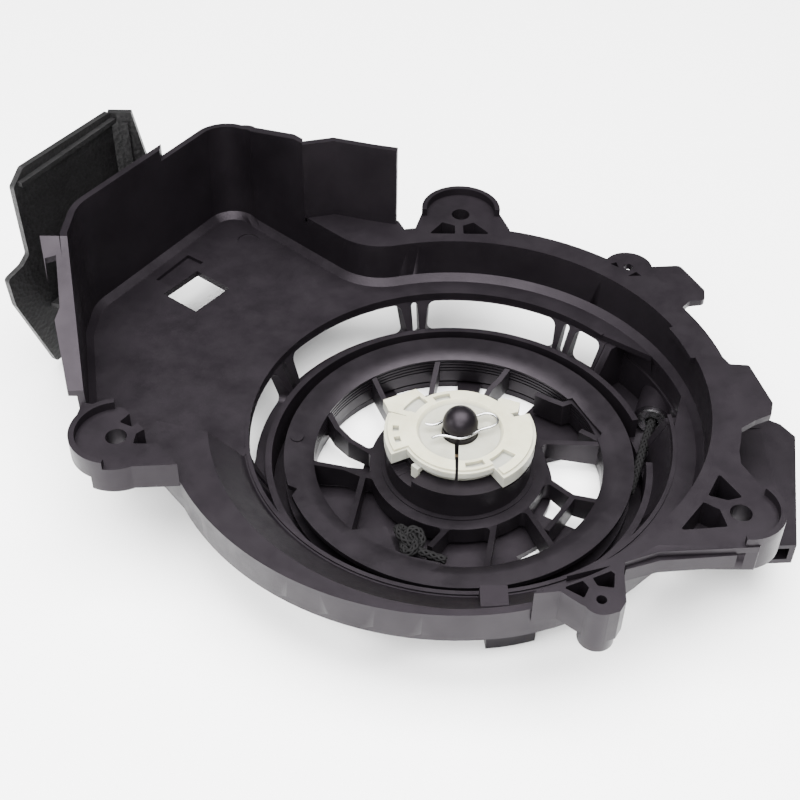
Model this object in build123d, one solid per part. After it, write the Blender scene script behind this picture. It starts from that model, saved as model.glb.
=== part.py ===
"""Recoil starter of a small air-cooled engine, seen with its engine side up.

The black fan housing stands on the closed bottom of its spring cup.  The reel,
the recoil spring and the rope sit in the cup on one centre post, and a cream
ratchet with two lobes climbs the collar of the reel to drive the flywheel.

Frame: millimetres, +Z out of the open engine side, origin on the post axis at
the outer face of the cup bottom, +X towards the handle pod.
"""
from build123d import *
import math
import os

os.makedirs("parts", exist_ok=True)

# ---------------------------------------------------------------- driving sizes
# Levels above the outer face of the cup bottom
CUP_FLOOR = 2.5
CUP_TOP = 16.4
REEL_TOP = 17.0
FLOOR_LOW = 26.8
FLOOR_TOP = 29.3
LOW_RIM = 39.0
FLANGE_LOW = 44.5
FLANGE_TOP = 47.0
DUCT_LOW_TOP = 72.0
DUCT_TOP = 77.0
DUCT_END_TOP = 80.5

# Radii about the post
REEL_R = 62.0
CUP_IN_R = 66.3
CUP_OUT_R = 68.6
OPENING_R = 73.5
SCROLL_R = 84.0
RIM_R = 93.6

WALL = 2.5
COVE = 2.5
POST_R = 6.2
COLLAR_R = 26.0
HUB_R = 27.6
HUB_FLANGE_R = 31.6
RATCHET_R = 20.8
LOBE_R = 26.6
RATCHET_TOP = 28.0
LIFT = 2.0

BOLT_R = 3.5
TOP_BOSS = (2.7, 101.7)
RIGHT_BOSS = (84.8, -55.5)
LEFT_BOSS = (-113.9, -24.4)
BOTTOM_BOSS = (37.6, -90.0)
SMALL_BOSS = (65.0, 69.0)

ROPE_D = 3.8
RUN = 0.3


# ---------------------------------------------------------------- small helpers
def polar(radius, angle, centre=(0.0, 0.0)):
    """A plan point at a radius and an angle in degrees from a centre."""
    turn = math.radians(angle)
    return (centre[0] + radius * math.cos(turn), centre[1] + radius * math.sin(turn))


def slab(face, low, high):
    """Extrude a plan face from one level to another."""
    return extrude(Pos(0, 0, low) * face, high - low)


def plate(points, low, high):
    """A straight-sided prism on a closed list of plan points."""
    outline = Polyline(*points, close=True)
    return slab(make_face(outline), low, high)


def disc(radius, low, high, centre=(0.0, 0.0)):
    """A plain cylinder between two levels."""
    return Pos(centre[0], centre[1], low) * Cylinder(
        radius, high - low, align=(Align.CENTER, Align.CENTER, Align.MIN)
    )


def ring(outer, inner, low, high, centre=(0.0, 0.0)):
    """A plain tube between two levels."""
    return disc(outer, low, high, centre) - disc(inner, low - 1, high + 1, centre)


def sector(inner, outer, start, end, low, high, centre=(0.0, 0.0)):
    """A block between two radii and two angles."""
    middle = 0.5 * (start + end)
    edges = [
        Line(polar(inner, start, centre), polar(outer, start, centre)),
        ThreePointArc(
            polar(outer, start, centre), polar(outer, middle, centre), polar(outer, end, centre)
        ),
        Line(polar(outer, end, centre), polar(inner, end, centre)),
        ThreePointArc(
            polar(inner, end, centre), polar(inner, middle, centre), polar(inner, start, centre)
        ),
    ]
    return slab(make_face(edges), low, high)


def bar(start, end, width, low, high):
    """A straight rib of a given width between two plan points."""
    run_x = end[0] - start[0]
    run_y = end[1] - start[1]
    length = math.hypot(run_x, run_y)
    middle = (0.5 * (start[0] + end[0]), 0.5 * (start[1] + end[1]))
    block = Box(length, width, high - low, align=(Align.CENTER, Align.CENTER, Align.MIN))
    return Pos(middle[0], middle[1], low) * Rot(0, 0, math.degrees(math.atan2(run_y, run_x))) * block


def rounded(points, radius, low, high):
    """A prism on a closed list of plan points with every corner rounded."""
    face = make_face(Polyline(*points, close=True))
    return slab(fillet(face.vertices(), radius), low, high)


def save(shape, node):
    """Write one sub-part to its own STEP file."""
    shape.label = node
    export_step(shape, f"parts/{node}.step")


# ------------------------------------------------------------- the fan housing
def scroll_plan():
    """Plan face inside the fan scroll and the air duct that leaves it."""
    duct_root = (-44.0, 86.0)
    duct_corner = (-80.0, 118.3)
    edges = [
        ThreePointArc(polar(SCROLL_R, -50), polar(SCROLL_R, 30), polar(SCROLL_R, 105)),
        ThreePointArc(polar(SCROLL_R, 105), (-33.5, 80.6), duct_root),
        Line(duct_root, duct_corner),
        ThreePointArc(duct_corner, (-89.5, 123.9), (-97.9, 120.1)),
        Line((-97.9, 120.1), (-134.4, 66.6)),
        ThreePointArc((-134.4, 66.6), (-136.6, 62.0), (-137.4, 56.0)),
        Line((-137.4, 56.0), (-137.8, 46.0)),
        Line((-137.8, 46.0), (-127.5, -6.0)),
        Line((-127.5, -6.0), (-112.0, -8.5)),
        Line((-112.0, -8.5), (-90.0, -36.0)),
        ThreePointArc((-90.0, -36.0), polar(91.5, -125), polar(87.5, -90)),
        ThreePointArc(polar(87.5, -90), polar(86.0, -70), polar(SCROLL_R, -50)),
    ]
    return make_face(edges)


def scroll_band():
    """Plan face of the wall that stands all round the scroll and the duct."""
    inside = scroll_plan()
    return offset(inside, WALL, kind=Kind.ARC) - inside


def duct_side(low, high):
    """Block that holds the part of the plan where the tall duct wall stands."""
    corners = [(-58.5, 60), (-58.5, 150), (-170, 150), (-170, -3), (-120, -3), (-100, 40)]
    return plate(corners, low, high)


def low_side(low, high):
    """Block that holds the part of the plan where the rim is low."""
    corners = [(-135, -3), (-120, -3), (-60, -20), (21, -40), (21, -110), (-135, -110)]
    return plate(corners, low, high)


def floor_cove():
    """Sloped corner between the floor and the walls, steeper along the low rim."""
    inner = offset(scroll_plan(), -COVE, kind=Kind.ARC)
    cutter = extrude(Pos(0, 0, FLOOR_TOP) * inner, COVE, taper=-45)
    cove = slab(scroll_plan(), FLOOR_TOP, FLOOR_TOP + COVE) - cutter
    ramp = slab(scroll_plan(), FLOOR_TOP, LOW_RIM - 1.0) & low_side(FLOOR_TOP - 1, LOW_RIM + 1)
    ramp -= Pos(0, 0, FLOOR_TOP) * Cone(
        OPENING_R + 2.0, 87.0, LOW_RIM - 1.0 - FLOOR_TOP,
        align=(Align.CENTER, Align.CENTER, Align.MIN),
    )
    return cove + ramp


def floor_shell():
    """Moulded floor with the round opening, a square air window and the rope well."""
    floor = slab(offset(scroll_plan(), WALL, kind=Kind.ARC), FLOOR_LOW, FLOOR_TOP) + floor_cove()
    floor -= disc(OPENING_R, FLOOR_LOW - 1, LOW_RIM + 1)
    well = [(50.0, 48.0), (52.0, 52.0), (74.9, 36.0), (86.0, 30.0), (84.0, 17.0), (79.6, 16.0),
            (73.3, -5.0), (60.0, -4.0)]
    floor -= plate(well, FLOOR_LOW - 1, FLOOR_TOP + COVE + 1) & disc(81.5, 20, 50)
    window = Pos(-100.0, 73.9, FLOOR_LOW - 1) * Rot(0, 0, 52) * Box(
        18.4, 17.2, 5.0, align=(Align.CENTER, Align.CENTER, Align.MIN)
    )
    floor -= window
    pocket = [(-116.6, 80.8), (-106.0, 96.8), (-99.4, 92.2), (-110.2, 76.4)]
    floor -= plate(pocket, FLOOR_TOP - 1.5, FLOOR_TOP + 1)
    floor -= disc(4.2, FLOOR_TOP - 0.5, FLOOR_TOP + 1, (-82.8, 107.3))
    bead = ring(OPENING_R + 1.4, OPENING_R, FLOOR_TOP, FLOOR_TOP + 0.6)
    bead -= sector(70, 80, 5, 42, FLOOR_TOP - 1, FLOOR_TOP + 2)
    lug_low = Pos(-81.0, -32.5, FLOOR_TOP) * Rot(0, 0, 110) * Box(
        13.0, 2.6, 7.0, align=(Align.CENTER, Align.CENTER, Align.MIN)
    )
    lug_low += disc(3.4, FLOOR_TOP, FLOOR_TOP + 0.4, (-76.9, -14.0))
    lug_square = Pos(7.4, -81.2, FLOOR_TOP) * Box(
        8.6, 10.5, 6.6, align=(Align.CENTER, Align.CENTER, Align.MIN)
    )
    lugs = lug_low + lug_square
    return floor + bead + (lugs & slab(scroll_plan(), FLOOR_TOP, LOW_RIM))


def flange_plan_solid(low, high):
    """Flat rim of the scroll with its humps, before the inside is cut away."""
    rim = sector(SCROLL_R - 8, RIM_R, -32, 106, low, high)
    rim += disc(9.0, low, high, SMALL_BOSS)
    hump = [(56, 66), (71.4, 69.0), (84.6, 70.2), (91.6, 55.4), (90.8, 49.6), (84.8, 48.6),
            (76, 38)]
    rim += rounded(hump, 2.2, low, high)
    tab = [(78, 40), (84.4, 40), (87.4, 26.9), (93.7, 14.2), (100.3, 13.8), (104.8, -5.4),
           (103.2, -11.0), (97.4, -13.8), (91.5, -18), (76, -18)]
    rim += rounded(tab, 1.2, low, high)
    wedge = [(-58.5, 100.0), (-46.9, 104.0), (-31.1, 99.0), (-21.8, 97.0), (-19.5, 91.5),
             (-19.5, 78), (-45, 78)]
    rim += plate(wedge, low, high)
    arm = [(70, -40), (89.3, -27), (88.7, -34), (93.0, -43.5), (88, -69.4), (57, -71.6),
           (45.5, -76.0), (26.0, -82.0), (20.0, -80.0)]
    rim += plate(arm, low, high)
    return rim


def scroll_wall():
    """High wall of the scroll with its flat rim, from the bottom ear to the duct."""
    wall = slab(scroll_band(), FLOOR_TOP, FLANGE_LOW)
    wall -= duct_side(FLOOR_TOP - 1, FLANGE_TOP + 1)
    wall -= low_side(FLOOR_TOP - 1, FLANGE_TOP + 1)
    rim = flange_plan_solid(FLANGE_LOW, FLANGE_TOP)
    rim -= slab(scroll_plan(), FLANGE_LOW - 1, FLANGE_TOP + 1)
    rim += sector(82.3, SCROLL_R + 0.5, 12, 24, FLANGE_LOW, FLANGE_TOP)
    skirt = plate(
        [(46.6, -76.6), (57.4, -73.0), (81.3, -70.6), (81.3, -68.4), (58, -70.2), (46.6, -73.6)],
        FLANGE_TOP - 8.0,
        FLANGE_LOW,
    )
    shell = wall + rim + skirt
    for block in (top_block(), right_block(), bottom_block()):
        shell -= block
    for pocket in ([(58.4, 70.8), (60.8, 71.8), (61.4, 68.6)], [(67.6, 66.0), (69.2, 63.6), (64.2, 63.4)]):
        shell -= plate(pocket, FLANGE_LOW + 0.8, FLANGE_TOP + 1)
    shell -= disc(1.8, FLANGE_LOW - 1, FLANGE_TOP + 1, SMALL_BOSS)
    return shell


def low_wall():
    """Low near wall of the scroll, from the left mount to the bottom ear."""
    wall = slab(scroll_band(), FLOOR_TOP, LOW_RIM)
    return wall & low_side(FLOOR_TOP - 1, LOW_RIM + 1)


def duct_wall():
    """Tall wall of the cooling duct with its stepped top edge and the slotted end lip."""
    wall = slab(scroll_band(), FLOOR_TOP, DUCT_END_TOP)
    wall &= duct_side(FLOOR_TOP - 1, DUCT_END_TOP + 1)
    step = Plane.XZ * make_face(
        Polyline(
            (-112.5, 90), (-112.5, DUCT_LOW_TOP), (-84, DUCT_LOW_TOP), (-62, DUCT_END_TOP),
            (-62, 90), close=True,
        )
    )
    wall -= Pos(0, 110, 0) * extrude(step, 50, both=True)
    wall -= plate([(-170, -10), (-112.5, -10), (-112.5, 160), (-170, 160)], DUCT_TOP, 90)
    slope = Plane.YZ * make_face(
        Polyline((-10, FLANGE_TOP - 4), (-10, 90), (44.0, 90), (44.0, DUCT_TOP), close=True)
    )
    wall -= Pos(-135, 0, 0) * extrude(slope, 20, both=True)
    lip = [(-140.3, 44.0, DUCT_TOP), (-147.0, 44.0, DUCT_TOP), (-133.6, -3.0, 47.2), (-128.6, -3.0, 47.2)]
    lip_face = make_face(Polyline(*lip, close=True))
    wall += extrude(lip_face, 2.4, dir=(0, 0, -1))
    wall -= plate([(-144.6, 37.0), (-140.8, 38.0), (-138.2, 22.0), (-140.0, 17.0)], 45, 90)
    tail = plate(
        [(-58.5, 100.6), (-47.0, 103.6), (-31.1, 99.0), (-22.4, 97.0), (-22.8, 94.6),
         (-31.6, 96.5), (-46.8, 101.0), (-58.5, 98.0)],
        FLANGE_TOP,
        DUCT_END_TOP,
    )
    return wall + tail


def side_guard():
    """Grained outer guard of the duct: one tall panel with a notch, folded to the wall."""
    fold = (-130.7, 104.0)
    along = (-0.517, -0.856)
    outline = [(0, 27), (0, 90.6), (47, 92.0), (52.9, 87.0), (52.4, 57.5), (56.4, 54.9), (64.4, 53.6),
               (63.4, 41.0), (50.0, 4.0), (43.0, 4.0), (26, 27)]
    points = [(fold[0] + along[0] * run, fold[1] + along[1] * run, level) for run, level in outline]
    panel = make_face(Polyline(*points, close=True))
    guard = extrude(fillet(panel.vertices()[1:-1], 1.6), 1.1, dir=(-along[1], along[0], 0), both=True)
    turned = Plane.XZ * make_face(
        Polyline((-131, FLOOR_LOW), (-131, 90.6), (-122.2, 90.6), (-117.2, 64), (-117.2, FLOOR_LOW), close=True)
    )
    guard += Pos(0, 104.0, 0) * extrude(turned, 1.1, both=True)
    frame_bar = bar((-129.4, 103.0), (-155.5, 59.8), 3.0, 86.6, 88.4)
    guard += frame_bar + bar((-126.2, 102.6), (-123.6, 102.6), 2.0, 62, 86.6)
    ledge = [(-118, 105), (-130.7, 104.0), (-155.0, 63.5), (-139, 60)]
    guard += plate(ledge, FLOOR_TOP, FLOOR_TOP + 2.0)
    return guard - slab(offset(scroll_plan(), WALL, kind=Kind.ARC), FLOOR_LOW - 5, 95)


# ------------------------------------------------------------------- the mounts
def outside_wall(block, low, high):
    """Trim a block back to the outer face of the scroll wall."""
    return block - slab(offset(scroll_plan(), WALL, kind=Kind.ARC), low - 1, high + 1)


def top_block():
    """Envelope of the top mount."""
    block = disc(15.4, 35.0, FLANGE_TOP, TOP_BOSS)
    block += plate([(-17, 86), (-12.2, 104), (17.6, 104), (21.5, 92), (20, 84)], 35.0, FLANGE_TOP)
    return outside_wall(block, 35.0, FLANGE_TOP)


def right_block():
    """Envelope of the right mount."""
    block = disc(13.6, 36.0, FLANGE_TOP, RIGHT_BOSS)
    corners = [(68, -48), (79.0, -33.5), (88.0, -36.5), (94.1, -45.7), (97.7, -57.5), (88, -69.1), (57, -69)]
    block += plate(corners, 36.0, FLANGE_TOP)
    return outside_wall(block, 36.0, FLANGE_TOP)


def left_block():
    """Envelope of the left mount: a round ear that overhangs its lower body."""
    block = disc(15.2, 37.0, FLANGE_TOP, LEFT_BOSS)
    corners = [(-129, -19), (-127.5, -7), (-112, -5), (-88, -36.5), (-113.9, -38.4)]
    block += plate(corners, 37.0, FLANGE_TOP)
    block -= plate([(-120.5, -60), (-120.5, 10), (-150, 10), (-150, -60)], 30, 42.2)
    return outside_wall(block, 37.0, FLANGE_TOP)


def bottom_block():
    """Envelope of the bottom mount: a flat ear over a round column."""
    ear = [(18.0, -80.0), (18.0, -88.0), (25.7, -87.0), (31.2, -91.6), (36.8, -95.4), (39.4, -95.4),
           (42.6, -94.2), (44.8, -90.6), (45.4, -80.0), (46.6, -74.0)]
    block = plate(ear, 34.0, FLANGE_TOP)
    block += disc(5.6, FLOOR_TOP, FLANGE_TOP, BOTTOM_BOSS)
    return outside_wall(block, FLOOR_TOP - 1, FLANGE_TOP)


def finish_mount(block, centre, pockets, lip, lip_r, floor):
    """Bore a mount block for its bolt, core out its pockets and add the raised lip."""
    block -= disc(BOLT_R, 20, 60, centre)
    for pocket in pockets:
        block -= rounded(pocket, 0.6, floor, 60)
    block += sector(lip_r - 2.0, lip_r, lip[0], lip[1], FLANGE_TOP, FLANGE_TOP + 3.0, centre)
    return block


def top_mount():
    """Bolt ear at the top with a raised locating lip."""
    pockets = [
        [(-9.8, 88.9), (-4.6, 96.4), (0.2, 94.2), (0.2, 88.9)],
        [(3.4, 88.9), (3.4, 94.2), (7.6, 96.4), (13.6, 88.9)],
    ]
    return finish_mount(top_block(), TOP_BOSS, pockets, (-4, 184), 15.4, 36.2)


def right_mount():
    """Bolt ear at the right, beside the handle pod."""
    pockets = [
        [(80.8, -38.8), (86.4, -48.8), (81.6, -50.2), (75.7, -48.2)],
        [(73.8, -51.0), (78.4, -54.2), (79.6, -61.2), (64.6, -62.8)],
    ]
    return finish_mount(right_block(), RIGHT_BOSS, pockets, (-95, 42), 13.6, 37.2)


def left_mount():
    """Bolt ear at the left end of the duct."""
    pockets = [
        [(-113.8, -17.6), (-110.8, -13.2), (-107.2, -16.8), (-109.4, -19.8)],
        [(-107.6, -23.0), (-104.3, -20.2), (-98.4, -27.4), (-107.9, -27.6)],
    ]
    return finish_mount(left_block(), LEFT_BOSS, pockets, (100, 262), 15.2, 38.2)


def bottom_mount():
    """Small ear at the bottom with a screw pilot in its column."""
    block = bottom_block()
    block -= disc(1.6, 35.0, 60, BOTTOM_BOSS)
    for pocket in (
        [(26.9, -85.6), (32.8, -83.0), (34.4, -85.6), (32.6, -89.4)],
        [(35.8, -82.0), (41.6, -79.2), (42.6, -80.2), (41.8, -85.6), (37.0, -84.8)],
    ):
        block -= rounded(pocket, 0.5, 35.2, 60)
    return block


# ----------------------------------------------------- the cup, arms and outlet
ROPE_WALL = 54.5
EYELET_HALF = 9.2
FOOT_ANGLES = (-78, 52, 172)
VENT_LOW = 13.2
VENT_TOP = 26.4
BAND_LOW = 9.5
# Vents through the sloped band, from one angle to the next
VENTS = (
    (41.5, 50.8), (53.0, 55.0), (57.2, 98.6), (101.2, 103.2), (105.8, 147.4), (150.0, 152.0),
    (154.6, 191.4), (194.0, 196.0), (198.6, 250.0), (257.6, 299.0), (305.0, 333.0),
)
# Windows in the cup bottom: start angle, end angle, inner radius
CUP_WINDOWS = ((-30, 18, 34.5), (52, 78, 34.5), (88, 116, 34.5), (125, 172, 34.5), (-62, -44, 41.0))
CUP_WINDOW_R = 52.5


def rope_line():
    """Start point and unit direction of the rope where it leaves the reel."""
    wound = 61.1
    angle = -19.4
    start = polar(wound, angle)
    turn = math.radians(angle + 90)
    return start, (math.cos(turn), math.sin(turn))


def rope_rod(radius, begin, end, height=11.5):
    """Round bar along the leaving rope between two distances from the tangent point."""
    start, way = rope_line()
    base = (start[0] + way[0] * begin, start[1] + way[1] * begin, height)
    plane = Plane(origin=base, z_dir=(way[0], way[1], 0))
    return plane * Cylinder(radius, end - begin, align=(Align.CENTER, Align.CENTER, Align.MIN))


def spring_cup():
    """Closed cup that holds the reel, with a vented bottom and three small feet."""
    cup = ring(CUP_OUT_R, CUP_IN_R, CUP_FLOOR, CUP_TOP) + disc(CUP_OUT_R, 0.0, CUP_FLOOR)
    for start, end, inner in CUP_WINDOWS:
        cup -= sector(inner, CUP_WINDOW_R, start, end, -1, CUP_FLOOR + 1)
    for angle in FOOT_ANGLES:
        cup += sector(CUP_OUT_R - 0.5, 73.5, angle - 6.5, angle + 6.5, 0.0, 6.0)
    cup -= sector(CUP_IN_R - 2, CUP_OUT_R + 2, -3.5, 15, 7.5, CUP_TOP + 1)
    return cup


def vent(start, end):
    """Cutter for one vent: a slot with rounded corners, sunk through the band sideways."""
    middle = 0.5 * (start + end)
    width = 2 * (CUP_OUT_R + 2.0) * math.sin(math.radians(0.5 * (end - start)))
    height = VENT_TOP - VENT_LOW
    slot = RectangleRounded(width, height, min(2.6, 0.49 * width))
    face = Plane(origin=(45, 0, VENT_LOW + 0.5 * height), x_dir=(0, 1, 0), z_dir=(1, 0, 0)) * slot
    return Rot(0, 0, middle) * extrude(face, 50)


def cup_arms():
    """Sloped band that carries the cup from the floor, pierced by long vents."""
    profile = Polyline(
        (CUP_OUT_R, BAND_LOW),
        (CUP_OUT_R, CUP_TOP),
        (OPENING_R, FLOOR_LOW),
        (OPENING_R + 2.6, FLOOR_LOW),
        (CUP_OUT_R + 2.6, BAND_LOW),
        close=True,
    )
    band = revolve(Plane.XZ * make_face(profile), axis=Axis.Z)
    for start, end in VENTS:
        band -= vent(start, end)
    return band - sector(60, 90, 3.3, 40.2, 0, 40)


def rope_outlet():
    """Open-topped well beside the cup where the rope turns out through its eyelet."""
    shell = sector(CUP_OUT_R, 83.0, 3.5, 40, 4.0, FLOOR_LOW)
    shell -= sector(CUP_OUT_R - 1, 80.8, 6, 37.5, 6.0, FLOOR_LOW + 1)
    shell -= sector(CUP_OUT_R - 1, 81.5, 7, 37.5, 20.0, FLOOR_LOW + 1)
    shell += rope_rod(7.0, ROPE_WALL - EYELET_HALF, ROPE_WALL + EYELET_HALF)
    shell -= rope_rod(4.2, 20, 80)
    shell -= Pos(0, 0, CUP_TOP) * Cone(
        CUP_OUT_R, OPENING_R, FLOOR_LOW - CUP_TOP, align=(Align.CENTER, Align.CENTER, Align.MIN)
    )
    return shell - disc(CUP_OUT_R, 0, 40)


def rope_eyelet():
    """Polished steel eyelet, rolled over on both faces of the outlet wall."""
    sleeve = rope_rod(4.2, ROPE_WALL - EYELET_HALF - 1.2, ROPE_WALL + EYELET_HALF + 1.2)
    sleeve += rope_rod(5.4, ROPE_WALL - EYELET_HALF - 1.2, ROPE_WALL - EYELET_HALF)
    sleeve += rope_rod(5.4, ROPE_WALL + EYELET_HALF, ROPE_WALL + EYELET_HALF + 1.2)
    return sleeve - rope_rod(2.6, 30, 80)


def handle_pod():
    """Hollow moulded pod at the right with a scooped top, open towards the front."""
    plan = [(89.0, -52.0), (107.4, -51.0), (117.6, -1.0), (113.6, 5.2), (109.6, 7.6), (89.0, 10.0)]
    pod = plate(plan, 18.0, FLOOR_LOW)
    pod += plate([(82, -30), (90, -34), (90, 3), (83.2, 3)], 24.4, FLOOR_LOW)
    inner = [(91.0, -53.0), (105.0, -53.0), (115.0, -2.0), (112.4, 2.8), (91.0, 6.0)]
    pod -= plate(inner, 20.0, FLOOR_LOW - 1.6)
    pod -= Pos(101.0, -14.0, FLOOR_LOW + 27.0) * Rot(90, 0, 0) * Cylinder(27.6, 34.0)
    return pod


# ------------------------------------------------ the post, spring and bearings
def centre_post():
    """Fixed post with a groove for the friction clip and a domed head."""
    post = disc(POST_R, CUP_FLOOR, 28.5) + disc(5.0, 28.4, 30.2) + disc(POST_R, 30.1, 31.2)
    dome = Pos(0, 0, 31.0) * Sphere(POST_R) & disc(POST_R, 31.1, 40)
    return post + dome


def thrust_washer():
    """Thin steel washer under the hub of the reel."""
    return ring(9.8, POST_R + RUN, CUP_FLOOR, CUP_FLOOR + 0.6)


def spring_plate():
    """Thin steel plate that the recoil spring slides on."""
    return ring(25.2, 10.1, CUP_FLOOR, CUP_FLOOR + 0.5)


def recoil_spring():
    """Flat spiral spring of half-turn arcs, its strip standing on edge."""
    strip_t = 0.55
    pitch = 1.9
    low = CUP_FLOOR + 0.5
    high = low + 5.2
    spring = None
    inner = 10.4
    for half in range(14):
        shift = 0.0 if half % 2 == 0 else 0.5 * pitch
        start = 0 if half % 2 == 0 else 180
        turn = sector(inner, inner + strip_t, start, start + 180, low, high, (shift, 0.0))
        spring = turn if spring is None else spring + turn
        inner += 0.5 * pitch
    return spring


def hub_bush():
    """Bearing bush pressed into the hub of the reel."""
    return ring(7.6, POST_R + 0.05, 3.3, 21.6)


# --------------------------------------------------------------------- the reel
GROOVE_R = 54.0
DRUM_IN_R = 51.4
SPOKE_LOW = 4.2
FLANGE_LEVEL = 10.8
DRUM_LEVEL = 14.2
WEB_FILLET = 1.8
# Swept spokes, each a run of plan points from the hub flange out to the drum
SPOKES = (
    ((-21.9, 19.3), (-31.4, 43.1)),
    ((-28.9, 3.7), (-38.9, 9.7), (-43.8, 15.3), (-46.9, 21.8)),
    ((-28.0, -7.4), (-35.0, -6.6), (-40.3, -4.5), (-52.0, -3.7)),
    ((-33.9, -7.4), (-38.2, -35.0)),
    ((-2.9, -28.2), (-10.8, -40.7)),
    ((12.0, -26.6), (7.5, -51.6)),
    ((22.2, -19.0), (30.4, -42.0)),
    ((28.9, -33.2), (34.2, -25.8), (39.1, -18.0)),
    ((28.8, -4.7), (39.1, -17.4), (48.2, -21.3)),
    ((26.7, 11.8), (51.8, 7.0)),
    ((45.0, 14.7), (51.6, 8.9)),
    ((30.4, 34.5), (36.0, 30.6), (39.9, 28.2), (43.4, 29.3)),
    ((8.2, 28.0), (13.2, 37.8), (17.2, 42.3), (20.7, 47.7)),
    ((-10.2, 27.3), (-8.6, 38.6), (-6.2, 51.6)),
)


def spoke_web():
    """Hub flange and swept spokes as one web that rises from the hub to the drum."""
    plan = Circle(HUB_FLANGE_R) + (Circle(GROOVE_R - 1) - Circle(DRUM_IN_R))
    for run in SPOKES:
        for start, end in zip(run[:-1], run[1:]):
            length = math.hypot(end[0] - start[0], end[1] - start[1])
            turn = math.degrees(math.atan2(end[1] - start[1], end[0] - start[0]))
            middle = (0.5 * (start[0] + end[0]), 0.5 * (start[1] + end[1]))
            plan += Pos(*middle) * Rot(0, 0, turn) * Rectangle(length, 2.0)
        for corner in run[1:-1]:
            plan += Pos(*corner) * Circle(1.0)
    roots = [v for v in plan.vertices() if abs(math.hypot(v.X, v.Y) - HUB_FLANGE_R) < 0.01]
    plan = fillet(roots, WEB_FILLET)
    web = extrude(Pos(0, 0, SPOKE_LOW) * plan, DRUM_LEVEL - SPOKE_LOW)
    slope = Pos(0, 0, FLANGE_LEVEL) * Cone(
        HUB_FLANGE_R, DRUM_IN_R, DRUM_LEVEL - FLANGE_LEVEL,
        align=(Align.CENTER, Align.CENTER, Align.MIN),
    )
    return web - slope - disc(HUB_R - 0.1, 2.6, 20)


def reel():
    """Moulded rope reel: grooved drum, swept open spokes, hub flange and hub."""
    body = ring(REEL_R, DRUM_IN_R, 15.0, REEL_TOP) + ring(REEL_R, DRUM_IN_R, 6.0, 8.0)
    body += ring(GROOVE_R, DRUM_IN_R, 6.0, REEL_TOP)
    body -= Pos(0, 0, REEL_TOP - 2.2) * Cone(
        DRUM_IN_R, 56.6, 2.21, align=(Align.CENTER, Align.CENTER, Align.MIN)
    )
    body += spoke_web()
    body += ring(HUB_R, 25.7, 3.6, 11.3)
    body += ring(HUB_R, 7.6, 9.3, 11.3)
    body += ring(9.5, 7.6, 3.4, 21.6)
    deck = [(-39.4, -35.9), (-25.6, -33.9), (-24.2, -37.5), (-22.2, -44.6), (-17.5, -47.0), (-7.6, -49.6),
            (-8.0, -53.0), (-24.0, -47.6), (-38.0, -38.0)]
    body += plate(deck, 8.0, 14.8)
    shelf = [(-25.6, -33.9), (-16.0, -32.5), (-12.0, -46.0), (-17.5, -47.0), (-22.2, -44.6)]
    body += plate(shelf, 8.0, 9.8)
    for level in (9.2, 10.6, 12.0, 13.4):
        body -= ring(DRUM_IN_R + 0.5, DRUM_IN_R - 0.2, level, level + 0.6)
    body -= plate([(43.4, 30.0), (52.3, 11.2), (51.4, 9.4), (40.0, 12.0), (34.0, 30.0)], DRUM_LEVEL, 18)
    notch = Pos(*polar(62.5, -161.5), 14.0) * Rot(0, 0, 45 - 161.5) * Box(4.4, 4.4, 8.0)
    body -= notch
    body += disc(2.3, REEL_TOP - 0.5, REEL_TOP + 0.6, polar(58.0, 174))
    return body


def drive_collar():
    """Collar on the hub with three stepped ramps that lift the ratchet."""
    collar = ring(COLLAR_R, 23.4, 11.3, 18.6) + ring(COLLAR_R, 9.7, 18.6, 22.0)
    for rib in range(6):
        collar += bar(polar(9.8, rib * 60), polar(24.0, rib * 60), 2.0, 11.3, 19.0)
    collar -= disc(9.6, 10, 30)
    for ramp in range(3):
        floor_angle = ramp * 120 - 20
        collar -= sector(20.4, COLLAR_R + 1, floor_angle - 1, floor_angle + 9, 19.0, 23.0)
        for step in range(7):
            high = floor_angle - 1 - step * 5
            level = 19.0 + LIFT * step / 7.0
            collar -= sector(20.4, COLLAR_R + 1, high - 5, high + 0.02, level, 23.0)
    return collar


def starter_rope():
    """Rope wound in the groove, as one closed ring."""
    return ring(59.0, GROOVE_R, 8.1, 14.9)


def rope_knot():
    """Knot and cut end that hold the inner end of the rope in the reel."""
    knot = Rot(0, 0, 108) * Rot(0, 90, 0) * Cylinder(3.3, 15.0)
    cut_end = Rot(0, 0, -14) * Rot(0, 90, 0) * Cylinder(1.5, 9.0)
    knot = Pos(-17.6, -38.0, 13.4) * fillet(knot.edges().filter_by(GeomType.CIRCLE), 2.2)
    cut_end = Pos(-9.6, -46.0, 12.6) * cut_end
    return Compound([knot.solid(), cut_end.solid()])


def rope_tail():
    """Straight stretch of rope from the reel out through the eyelet."""
    return rope_rod(0.5 * ROPE_D, 6.5, 66.5)


def stopper_knot():
    """Stopper knot outside the eyelet that keeps the rope from running in."""
    start, way = rope_line()
    centre = (start[0] + way[0] * 70.0, start[1] + way[1] * 70.0, 11.5)
    knot = Pos(*centre) * Sphere(4.6) + rope_rod(3.6, 66.5, 72.0)
    return knot - rope_rod(6, 40, 66.5)


# ---------------------------------------------------- the ratchet and its clip
CLIP_LEVEL = 29.3
WIRE_R = 0.5


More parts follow.
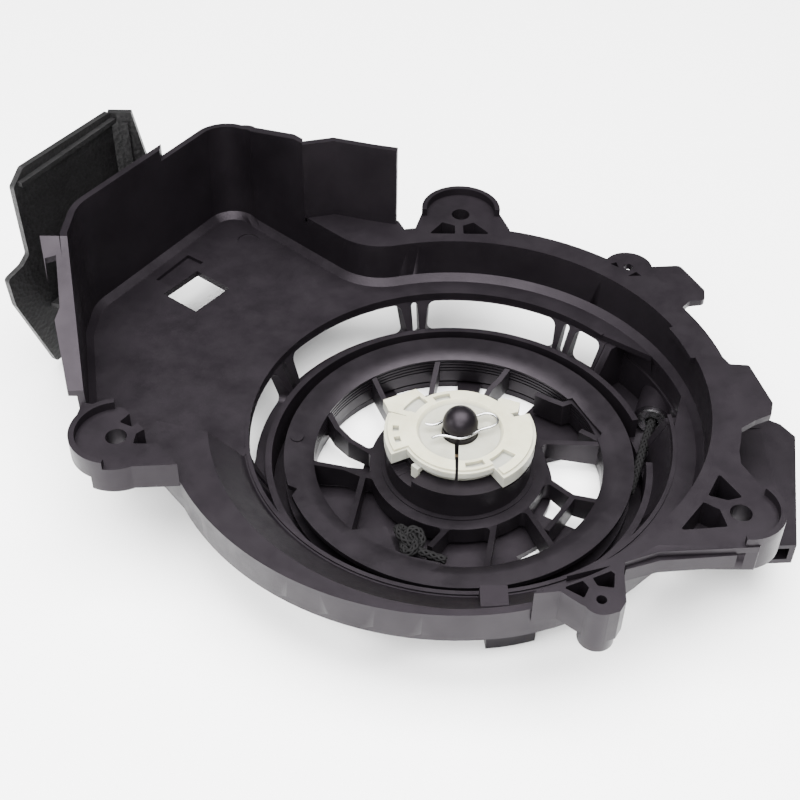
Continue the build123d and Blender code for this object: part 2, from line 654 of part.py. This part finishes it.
def friction_clip():
    """Hairpin of spring wire that grips the groove of the post and sticks out both ways."""
    plan = [(-12.0, 1.1), (-7.4, 1.4), (-4.6, 4.0), (0.8, 5.95), (5.6, 5.3), (9.0, 6.6), (12.2, 5.6),
            (13.3, 2.6), (11.4, 0.2), (7.2, -1.6), (4.7, -3.6), (0.0, -5.95), (-4.6, -4.9), (-9.9, -6.0)]
    path = Spline(*[(x, y, CLIP_LEVEL) for x, y in plan])
    section = Plane(origin=path @ 0, z_dir=path % 0) * Circle(WIRE_R)
    return sweep(section, path=path)


def drive_ratchet():
    """Cream ratchet: a split ring with a dished centre, two driving lobes and two lugs."""
    body = disc(RATCHET_R, 24.8, RATCHET_TOP - 0.9) + disc(RATCHET_R - 0.9, 27.0, RATCHET_TOP)
    body += Pos(0, 0, 22.3) * Cone(
        19.4, RATCHET_R, 2.6, align=(Align.CENTER, Align.CENTER, Align.MIN)
    )
    for start, end in ((-58, 20), (160, 206)):
        body += sector(10, LOBE_R, start, end, 22.3, 27.0)
        body += sector(10, LOBE_R - 1.2, start + 1.5, end - 1.5, 26.9, RATCHET_TOP)
    lug_left = [(-15.2, 21.0), (-27.0, 15.0), (-24.9, 9.4), (-16.0, 6.0), (-11.0, 16.0)]
    lug_right = [(15.2, 16.8), (22.0, 14.3), (21.0, 9.6), (16.0, 8.0), (12.0, 12.0)]
    body += plate(lug_left, 23.4, RATCHET_TOP - 0.5) + plate(lug_right, 23.4, RATCHET_TOP - 0.5)
    body -= Pos(0, 0, 26.5) * Cone(14.2, 15.4, 1.6, align=(Align.CENTER, Align.CENTER, Align.MIN))
    body -= disc(POST_R + RUN, 20, 30)
    for middle in (-45, 141):
        body -= sector(17.4, 22.4, middle - 12, middle + 12, 26.0, 30)
    body -= sector(15.9, 18.6, 100, 120, 26.2, 30)
    body -= sector(16.4, 18.8, -86, -64, 26.2, 30)
    for start in (176, 190):
        body -= sector(21.4, 23.6, start, start + 7, 26.0, 30)
    for ramp in range(3):
        foot_angle = ramp * 120 - 20
        body += sector(18.2, 22.3, foot_angle, foot_angle + 8, 22.3, 24.6)
        body += sector(20.9, 22.3, foot_angle, foot_angle + 8, 19.4, 22.4)
    return body - plate([(-2.0, -5.5), (-0.5, -5.5), (-1.6, -28.0), (-2.4, -28.0)], 19, 30)


NODES = {
    "housing_floor": floor_shell,
    "scroll_wall": scroll_wall,
    "low_wall": low_wall,
    "duct_wall": duct_wall,
    "side_guard": side_guard,
    "top_mount": top_mount,
    "right_mount": right_mount,
    "left_mount": left_mount,
    "bottom_mount": bottom_mount,
    "spring_cup": spring_cup,
    "cup_arms": cup_arms,
    "rope_outlet": rope_outlet,
    "rope_eyelet": rope_eyelet,
    "handle_pod": handle_pod,
    "centre_post": centre_post,
    "thrust_washer": thrust_washer,
    "spring_plate": spring_plate,
    "recoil_spring": recoil_spring,
    "hub_bush": hub_bush,
    "reel": reel,
    "drive_collar": drive_collar,
    "starter_rope": starter_rope,
    "rope_knot": rope_knot,
    "rope_tail": rope_tail,
    "stopper_knot": stopper_knot,
    "friction_clip": friction_clip,
    "drive_ratchet": drive_ratchet,
}

for node_name, build_node in NODES.items():
    save(build_node(), node_name)
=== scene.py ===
import math
import bpy
import bmesh
from mathutils import Vector, Matrix


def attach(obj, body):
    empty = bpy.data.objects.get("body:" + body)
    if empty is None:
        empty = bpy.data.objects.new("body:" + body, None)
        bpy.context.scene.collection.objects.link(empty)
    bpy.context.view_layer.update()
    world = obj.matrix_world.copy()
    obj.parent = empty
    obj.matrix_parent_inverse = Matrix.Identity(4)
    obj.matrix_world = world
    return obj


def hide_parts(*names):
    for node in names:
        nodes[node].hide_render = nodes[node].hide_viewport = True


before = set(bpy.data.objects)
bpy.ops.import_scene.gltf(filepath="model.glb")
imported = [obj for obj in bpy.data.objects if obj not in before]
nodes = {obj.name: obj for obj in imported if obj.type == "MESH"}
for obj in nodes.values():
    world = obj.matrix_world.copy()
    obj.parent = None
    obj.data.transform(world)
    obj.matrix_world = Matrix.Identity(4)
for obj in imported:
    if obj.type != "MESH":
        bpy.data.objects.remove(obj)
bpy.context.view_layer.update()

# ---------------------------------------------------------------------------
# The housing, one black injection moulding: fan scroll floor and rim, air duct
# walls, low front wall, bolt ears, spring cup and its arms.  Glass-filled nylon,
# satin from the tool, slightly mottled, with small radii on every edge.
HOUSING_BODY = "housing"
HOUSING_NODES = (
    "housing_floor", "scroll_wall", "low_wall", "duct_wall", "top_mount", "right_mount",
    "left_mount", "bottom_mount", "spring_cup", "cup_arms", "rope_outlet", "handle_pod",
)
WELD_GAP = 0.000002


def new_finish(name):
    """An empty node material with its shader and a shared object-space position."""
    finish = bpy.data.materials.new(name + "_finish")
    finish["slot"] = name
    finish.use_nodes = True
    tree = finish.node_tree
    tree.nodes.clear()
    out = tree.nodes.new("ShaderNodeOutputMaterial")
    shader = tree.nodes.new("ShaderNodeBsdfPrincipled")
    tree.links.new(shader.outputs["BSDF"], out.inputs["Surface"])
    place = tree.nodes.new("ShaderNodeTexCoord")
    return finish, tree, shader, place.outputs["Object"]


def speckle(tree, place, scale, detail=3.0, rough=0.5):
    """Noise over the piece; the output is its grey value."""
    noise = tree.nodes.new("ShaderNodeTexNoise")
    noise.inputs["Scale"].default_value = scale
    noise.inputs["Detail"].default_value = detail
    noise.inputs["Roughness"].default_value = rough
    tree.links.new(place, noise.inputs["Vector"])
    return noise.outputs["Fac"]


def spread(tree, value, low_in, high_in, low_out, high_out):
    """Map a grey value from one range to another."""
    mapped = tree.nodes.new("ShaderNodeMapRange")
    mapped.inputs["From Min"].default_value = low_in
    mapped.inputs["From Max"].default_value = high_in
    mapped.inputs["To Min"].default_value = low_out
    mapped.inputs["To Max"].default_value = high_out
    tree.links.new(value, mapped.inputs["Value"])
    return mapped.outputs["Result"]


def two_tone(tree, value, first, second):
    """Blend two colours by a grey value."""
    ramp = tree.nodes.new("ShaderNodeValToRGB")
    ramp.color_ramp.elements[0].color = (*first, 1)
    ramp.color_ramp.elements[1].color = (*second, 1)
    tree.links.new(value, ramp.inputs["Fac"])
    return ramp.outputs["Color"]


def relief(tree, value, strength, depth, below=None):
    """A bump from a grey value, laid over another bump if one is given."""
    bump = tree.nodes.new("ShaderNodeBump")
    bump.inputs["Strength"].default_value = strength
    bump.inputs["Distance"].default_value = depth
    tree.links.new(value, bump.inputs["Height"])
    if below is not None:
        tree.links.new(below, bump.inputs["Normal"])
    return bump.outputs["Normal"]


def black_moulding(name, dark, light, gloss, grain_scale, grain_depth):
    """Black moulded plastic: fine tool grain, faint flow mottling, rubbed patches."""
    finish, tree, shader, place = new_finish(name)
    cloud = speckle(tree, place, 38, 4, 0.6)
    grain = speckle(tree, place, grain_scale, 2, 0.6)
    tree.links.new(
        two_tone(tree, spread(tree, cloud, 0.3, 0.7, 0, 1), dark, light), shader.inputs["Base Color"]
    )
    rubbed = speckle(tree, place, 90, 5, 0.7)
    tree.links.new(
        spread(tree, rubbed, 0.35, 0.7, gloss - 0.07, gloss + 0.09), shader.inputs["Roughness"]
    )
    waves = relief(tree, speckle(tree, place, 55, 2, 0.4), 0.25, 0.0006)
    tree.links.new(relief(tree, grain, 0.5, grain_depth, waves), shader.inputs["Normal"])
    shader.inputs["IOR"].default_value = 1.5
    shader.inputs["Specular IOR Level"].default_value = 0.16
    shader.inputs["Specular Tint"].default_value = (1.0, 0.88, 1.0, 1)
    return finish


def soften(piece, radius, angle):
    """Round the edges sharper than an angle, and keep the flats beside them flat."""
    round_off = piece.modifiers.new("edge", "BEVEL")
    round_off.width = radius
    round_off.segments = 2
    round_off.limit_method = "ANGLE"
    round_off.angle_limit = math.radians(angle)
    round_off.use_clamp_overlap = True
    shade = piece.modifiers.new("shade", "WEIGHTED_NORMAL")
    shade.keep_sharp = False
    shade.weight = 60


def dress(node, finish, edge=0.0004):
    """Give a CAD node its finish and small moulded radii on its edges."""
    piece = nodes[node]
    piece.data.materials.clear()
    piece.data.materials.append(finish)
    if edge:
        weld = piece.modifiers.new("weld", "WELD")
        weld.merge_threshold = WELD_GAP
        flat = piece.modifiers.new("flat", "DECIMATE")
        flat.decimate_type = "DISSOLVE"
        flat.angle_limit = math.radians(1.0)
        soften(piece, edge, 38)


def one_moulding(name, members, body, finish, edge):
    """Fuse CAD nodes that are one piece of plastic and round the edges of the whole."""
    fused = []
    for node in members:
        shell = bmesh.new()
        shell.from_mesh(nodes[node].data)
        bmesh.ops.remove_doubles(shell, verts=shell.verts, dist=WELD_GAP)
        copy = bpy.data.meshes.new(node + "_skin")
        shell.to_mesh(copy)
        shell.free()
        fused.append(bpy.data.objects.new(node + "_skin", copy))
    others = bpy.data.collections.new(name + "_others")
    bpy.context.scene.collection.children.link(others)
    for skin in fused[1:]:
        others.objects.link(skin)
    first = fused[0]
    bpy.context.scene.collection.objects.link(first)
    join = first.modifiers.new("join", "BOOLEAN")
    join.operation = "UNION"
    join.operand_type = "COLLECTION"
    join.collection = others
    join.solver = "EXACT"
    graph = bpy.context.evaluated_depsgraph_get()
    whole = bpy.data.meshes.new_from_object(first.evaluated_get(graph))
    for skin in fused:
        bpy.data.objects.remove(skin)
    bpy.data.collections.remove(others)
    shell = bmesh.new()
    shell.from_mesh(whole)
    bmesh.ops.remove_doubles(shell, verts=shell.verts, dist=0.00001)
    bmesh.ops.dissolve_limit(
        shell, angle_limit=math.radians(0.8), verts=shell.verts, edges=shell.edges
    )
    for face in shell.faces:
        face.smooth = True
    shell.to_mesh(whole)
    shell.free()
    whole.materials.clear()
    whole.materials.append(finish)
    piece = bpy.data.objects.new(name, whole)
    bpy.context.scene.collection.objects.link(piece)
    soften(piece, edge, 32)
    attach(piece, body)
    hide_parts(*members)


housing_black = black_moulding(
    "housing_black", (0.0032, 0.0026, 0.0033), (0.0052, 0.0043, 0.0053), 0.42, 2600, 0.00006
)
one_moulding("housing_shell", HOUSING_NODES, HOUSING_BODY, housing_black, 0.0005)

# ---------------------------------------------------------------------------
# The guard beside the duct: same moulding, with a coarse leather grain cut into
# the tool so that hands and tools do not slip on it.
guard_grained, tree, shader, place = new_finish("guard_grained")
cells = tree.nodes.new("ShaderNodeTexVoronoi")
cells.inputs["Scale"].default_value = 620
tree.links.new(place, cells.inputs["Vector"])
tree.links.new(
    two_tone(tree, cells.outputs["Distance"], (0.0022, 0.0021, 0.0022), (0.0060, 0.0056, 0.0060)),
    shader.inputs["Base Color"],
)
tree.links.new(
    spread(tree, speckle(tree, place, 60), 0.3, 0.7, 0.42, 0.56), shader.inputs["Roughness"]
)
tree.links.new(
    relief(tree, cells.outputs["Distance"], 0.6, 0.0003), shader.inputs["Normal"]
)
shader.inputs["Specular IOR Level"].default_value = 0.25
dress("side_guard", guard_grained)

# ---------------------------------------------------------------------------
# The rope reel with its spokes and the stepped drive collar on its hub: black
# nylon, a touch glossier than the housing where the tool was polished.
reel_black = black_moulding(
    "reel_black", (0.0026, 0.0022, 0.0027), (0.0044, 0.0037, 0.0045), 0.40, 1800, 0.00004
)
for node in ("reel", "drive_collar", "centre_post"):
    dress(node, reel_black, 0.0003)

# ---------------------------------------------------------------------------
# The ratchet: a cream nylon dish with two lobes, moulded in one piece and split by
# a slot.  Unfilled nylon is milky, so light soaks a little way into it.  The low
# dish floor is painted a darker grey than the raised top, as painted shade in the recess.
DISH_LEVEL = 0.0262
TOP_LEVEL = 0.0276
MIX_FACTOR, MIX_LOW, MIX_HIGH, MIX_COLOUR = 0, 6, 7, 2
ratchet_cream, tree, shader, place = new_finish("ratchet_cream")
milk = spread(tree, speckle(tree, place, 110, 4, 0.6), 0.3, 0.7, 0, 1)
tall = tree.nodes.new("ShaderNodeSeparateXYZ")
tree.links.new(place, tall.inputs["Vector"])
# Painted shade: the colour turns greyer and darker towards the low dish floor, standing in for shade
# in the recess.
painted_dish_shade = tree.nodes.new("ShaderNodeMix")
painted_dish_shade.data_type = "RGBA"
tree.links.new(
    spread(tree, tall.outputs["Z"], DISH_LEVEL, TOP_LEVEL, 0, 1), painted_dish_shade.inputs[MIX_FACTOR]
)
tree.links.new(
    two_tone(tree, milk, (0.21, 0.21, 0.18), (0.27, 0.27, 0.235)), painted_dish_shade.inputs[MIX_LOW]
)
tree.links.new(
    two_tone(tree, milk, (0.35, 0.335, 0.235), (0.43, 0.415, 0.31)), painted_dish_shade.inputs[MIX_HIGH]
)
tree.links.new(painted_dish_shade.outputs[MIX_COLOUR], shader.inputs["Base Color"])
tree.links.new(
    spread(tree, speckle(tree, place, 160), 0.3, 0.7, 0.34, 0.5), shader.inputs["Roughness"]
)
tree.links.new(relief(tree, speckle(tree, place, 900), 0.3, 0.0001), shader.inputs["Normal"])
shader.inputs["Subsurface Weight"].default_value = 0.25
shader.inputs["Subsurface Radius"].default_value = (0.004, 0.0035, 0.0025)
shader.inputs["Subsurface Scale"].default_value = 1.0
shader.inputs["IOR"].default_value = 1.53
dress("drive_ratchet", ratchet_cream, 0.00035)

# ---------------------------------------------------------------------------
# The steel pieces: the hairpin clip bent from drawn wire over the ratchet, the
# eyelet rolled over on both faces of the rope outlet, and the thin thrust washer
# under the hub of the reel.
bright_steel, tree, shader, place = new_finish("bright_steel")
drawn = speckle(tree, place, 700, 3, 0.6)
tree.links.new(
    two_tone(tree, drawn, (0.42, 0.42, 0.43), (0.62, 0.62, 0.63)), shader.inputs["Base Color"]
)
tree.links.new(spread(tree, drawn, 0.3, 0.7, 0.18, 0.34), shader.inputs["Roughness"])
tree.links.new(relief(tree, drawn, 0.3, 0.00003), shader.inputs["Normal"])
shader.inputs["Metallic"].default_value = 1.0
for node in ("friction_clip", "rope_eyelet", "thrust_washer"):
    dress(node, bright_steel, 0)

# ---------------------------------------------------------------------------
# The recoil spring and the plate under it: blued strip steel, wet with grease.
# The strip is wound in a flat coil in the cup, under the reel.
spring_steel, tree, shader, place = new_finish("spring_steel")
blue = speckle(tree, place, 120, 4, 0.6)
tree.links.new(
    two_tone(tree, blue, (0.10, 0.10, 0.12), (0.24, 0.22, 0.21)), shader.inputs["Base Color"]
)
tree.links.new(spread(tree, blue, 0.3, 0.7, 0.2, 0.4), shader.inputs["Roughness"])
tree.links.new(relief(tree, speckle(tree, place, 500), 0.3, 0.00005), shader.inputs["Normal"])
shader.inputs["Metallic"].default_value = 1.0
for node in ("recoil_spring", "spring_plate"):
    dress(node, spring_steel, 0)

# ---------------------------------------------------------------------------
# The bush in the hub of the reel: brown bearing plastic with short fibres in it,
# pressed in so that the reel runs on it and not on its own nylon.
bush_brown, tree, shader, place = new_finish("bush_brown")
fibre = speckle(tree, place, 300, 4, 0.6)
tree.links.new(
    two_tone(tree, fibre, (0.10, 0.07, 0.04), (0.18, 0.13, 0.08)), shader.inputs["Base Color"]
)
tree.links.new(spread(tree, fibre, 0.3, 0.7, 0.35, 0.5), shader.inputs["Roughness"])
tree.links.new(relief(tree, fibre, 0.3, 0.00005), shader.inputs["Normal"])
dress("hub_bush", bush_brown, 0)

# ---------------------------------------------------------------------------
# The starter rope: black cord braided from eight plaits.  Two turns lie in the
# groove of the reel, the inner end is knotted in the pocket beside the hub, and
# the outer end runs out through the eyelet to a stopper knot.
rope_braid, tree, shader, place = new_finish("rope_braid")
fibres = speckle(tree, place, 2600, 3, 0.6)
tree.links.new(
    two_tone(tree, fibres, (0.0015, 0.0015, 0.0015), (0.010, 0.0095, 0.010)),
    shader.inputs["Base Color"],
)
tree.links.new(spread(tree, fibres, 0.3, 0.7, 0.65, 0.85), shader.inputs["Roughness"])
tree.links.new(relief(tree, fibres, 0.4, 0.0001), shader.inputs["Normal"])
shader.inputs["Specular IOR Level"].default_value = 0.07
ROPE_R = 0.0017
KNOT_ROPE_R = 0.0015
PLAITS = 8
PLAIT_LAY = 0.011
PLAIT_SHARE = 0.34
TRACK_SHARE = 0.66
WEAVE_SHARE = 0.06


def carried(path):
    """Each point of a path with two directions across it that turn as little as they can."""
    side = (path[1] - path[0]).orthogonal().normalized()
    for index, spot in enumerate(path):
        ahead = (path[min(index + 1, len(path) - 1)] - path[max(index - 1, 0)]).normalized()
        side = (side - ahead * side.dot(ahead)).normalized()
        yield spot, side, ahead.cross(side)


def plait(shell, path, radius, sides=5):
    """Sweep a small round section along a list of points, closed at both ends."""
    before = None
    for spot, side, over in carried(path):
        ring = []
        for step in range(sides):
            angle = 2 * math.pi * step / sides
            reach = radius * (math.cos(angle) * side + math.sin(angle) * over)
            ring.append(shell.verts.new(spot + reach))
        if before:
            for step in range(sides):
                after = (step + 1) % sides
                shell.faces.new((before[step], before[after], ring[after], ring[step]))
        else:
            shell.faces.new(ring[::-1])
        before = ring
    shell.faces.new(before)


def braided(name, paths, body, replaced, radius=ROPE_R):
    """A length of eight-plait braid along each path, riding on a body."""
    shell = bmesh.new()
    for path in paths:
        run = 0.0
        tracks = [[] for _ in range(PLAITS)]
        for index, (spot, side, over) in enumerate(carried(path)):
            if index:
                run += (spot - path[index - 1]).length
            for track, points in enumerate(tracks):
                way = 1 if track % 2 else -1
                angle = way * 2 * math.pi * run / PLAIT_LAY + 2 * math.pi * track / PLAITS
                weave = math.cos(0.5 * PLAITS * angle + (0 if way > 0 else math.pi))
                reach = radius * (TRACK_SHARE + WEAVE_SHARE * weave)
                points.append(spot + reach * (math.cos(angle) * side + math.sin(angle) * over))
        for points in tracks:
            plait(shell, points, PLAIT_SHARE * radius)
    for face in shell.faces:
        face.smooth = True
    skin = bpy.data.meshes.new(name)
    shell.to_mesh(skin)
    shell.free()
    skin.materials.append(rope_braid)
    piece = bpy.data.objects.new(name, skin)
    bpy.context.scene.collection.objects.link(piece)
    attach(piece, body)
    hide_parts(replaced)


def between(start, end, steps):
    """Evenly spaced points from one point to another."""
    return [Vector(start).lerp(Vector(end), step / steps) for step in range(steps + 1)]


def knotted(centre, along, size, steps=150):
    """Points of an overhand knot pulled out along one direction."""
    along = Vector(along).normalized()
    across = Vector((-along.y, along.x, 0)).normalized()
    lift = along.cross(across)
    points = []
    for step in range(steps):
        turn = 2 * math.pi * step / steps
        a = math.sin(turn) + 2 * math.sin(2 * turn)
        b = math.cos(turn) - 2 * math.cos(2 * turn)
        c = -math.sin(3 * turn)
        offset = size[0] * a * along + size[1] * b * across + size[2] * c * lift
        points.append(Vector(centre) + offset)
    return points


COIL_R = 0.0565
COIL_LOW = 0.0098
COIL_RISE = 0.0034
COIL_STEPS = 360
STEP_DEGREES = 2
coils = []
for turn_step in range(COIL_STEPS + 1):
    swing = math.radians(STEP_DEGREES * turn_step)
    level = COIL_LOW + COIL_RISE * turn_step / COIL_STEPS
    coils.append(Vector((COIL_R * math.cos(swing), COIL_R * math.sin(swing), level)))
braided("rope_turns", [coils], "reel_body", "starter_rope")

KNOT_SPOT = (-0.0176, -0.0382, 0.0134)
KNOT_WAY = (-0.31, 0.95, 0)
KNOT_SIZE = (0.0022, 0.0014, 0.0010)
TAIL_START = (-0.0165, -0.0425, 0.0134)
TAIL_END = (-0.0056, -0.0469, 0.0128)
inner_knot = knotted(KNOT_SPOT, KNOT_WAY, KNOT_SIZE)
tail_end = between(TAIL_START, TAIL_END, 24)
braided("inner_knot", [inner_knot, tail_end], "reel_body", "rope_knot", KNOT_ROPE_R)

# The taut stretch leaves the groove at a tangent, and its distances run along it.
LEAVES_AT = math.radians(-19.4)
RUNS_AT = math.radians(70.6)
LEAVES_R = 0.0611
LEAVES_LEVEL = 0.0115
TAUT_FROM = 0.0065
TAUT_TO = 0.0665
STOPPER_AT = 0.0705
STOPPER_SIZE = (0.0009, 0.0009, 0.0011)
leave = Vector((math.cos(RUNS_AT), math.sin(RUNS_AT), 0))
tangent = Vector((LEAVES_R * math.cos(LEAVES_AT), LEAVES_R * math.sin(LEAVES_AT), LEAVES_LEVEL))
taut = between(tangent + TAUT_FROM * leave, tangent + TAUT_TO * leave, 60)
braided("taut_rope", [taut], "housing", "rope_tail")
outer_knot = knotted(tangent + STOPPER_AT * leave, leave, STOPPER_SIZE, 90)
braided("outer_knot", [outer_knot], "housing", "stopper_knot", KNOT_ROPE_R)

# ---------------------------------------------------------------------------
# The table and the light: a plain white table top under three soft lamps, a large
# one above, a weaker one in front, and a small one low at the left.
TABLE_HALF = 4
LAMP_AIM = (0, 0, 0.03)
floor_mesh = bpy.data.meshes.new("table")
corners = [(TABLE_HALF * x, TABLE_HALF * y, 0) for x, y in ((-1, -1), (1, -1), (1, 1), (-1, 1))]
floor_mesh.from_pydata(corners, [], [(0, 1, 2, 3)])
table_top = bpy.data.objects.new("table", floor_mesh)
bpy.context.scene.collection.objects.link(table_top)
table_white, tree, shader, place = new_finish("table_white")
tree.links.new(
    two_tone(tree, speckle(tree, place, 3), (0.93, 0.93, 0.93), (0.95, 0.95, 0.95)),
    shader.inputs["Base Color"],
)
shader.inputs["Roughness"].default_value = 0.8
floor_mesh.materials.append(table_white)

world = bpy.data.worlds.new("studio")
bpy.context.scene.world = world
world.use_nodes = True
world.node_tree.nodes["Background"].inputs["Color"].default_value = (1, 1, 1, 1)
world.node_tree.nodes["Background"].inputs["Strength"].default_value = 0.2


def soft_lamp(name, place, aim, size, power):
    """A rectangular area lamp turned towards a point."""
    lamp = bpy.data.lights.new(name, "AREA")
    lamp.shape = "RECTANGLE"
    lamp.size, lamp.size_y = size
    lamp.energy = power
    holder = bpy.data.objects.new(name, lamp)
    bpy.context.scene.collection.objects.link(holder)
    holder.location = place
    holder.rotation_mode = "QUATERNION"
    holder.rotation_quaternion = (Vector(aim) - Vector(place)).to_track_quat("-Z", "Y")


soft_lamp("lamp_above", (0, -0.1, 1.3), LAMP_AIM, (1.8, 1.4), 150)
soft_lamp("lamp_front", (-0.2, -1.0, 0.75), LAMP_AIM, (0.9, 0.6), 25)
soft_lamp("lamp_left", (-1.0, -0.25, 0.3), LAMP_AIM, (0.5, 0.4), 8)

# ---------------------------------------------------------------------------
# The camera stands in front and looks down into the open engine side, at a
# little under half a right angle to the table and rolled by less than a degree.
eye = bpy.data.cameras.new("camera")
eye.lens = 60.75
eye.sensor_width = 36
eye.clip_start = 0.01
camera = bpy.data.objects.new("camera", eye)
bpy.context.scene.collection.objects.link(camera)
right = Vector((0.99991, 0.0, 0.01324))
up = Vector((-0.00965, 0.68441, 0.72903))
back = Vector((-0.00906, -0.72910, 0.68435))
turn = Matrix((right, up, back)).transposed()
camera.rotation_mode = "QUATERNION"
camera.rotation_quaternion = turn.to_quaternion()
camera.location = (-0.025377, -0.337287, 0.358200)
bpy.context.scene.camera = camera
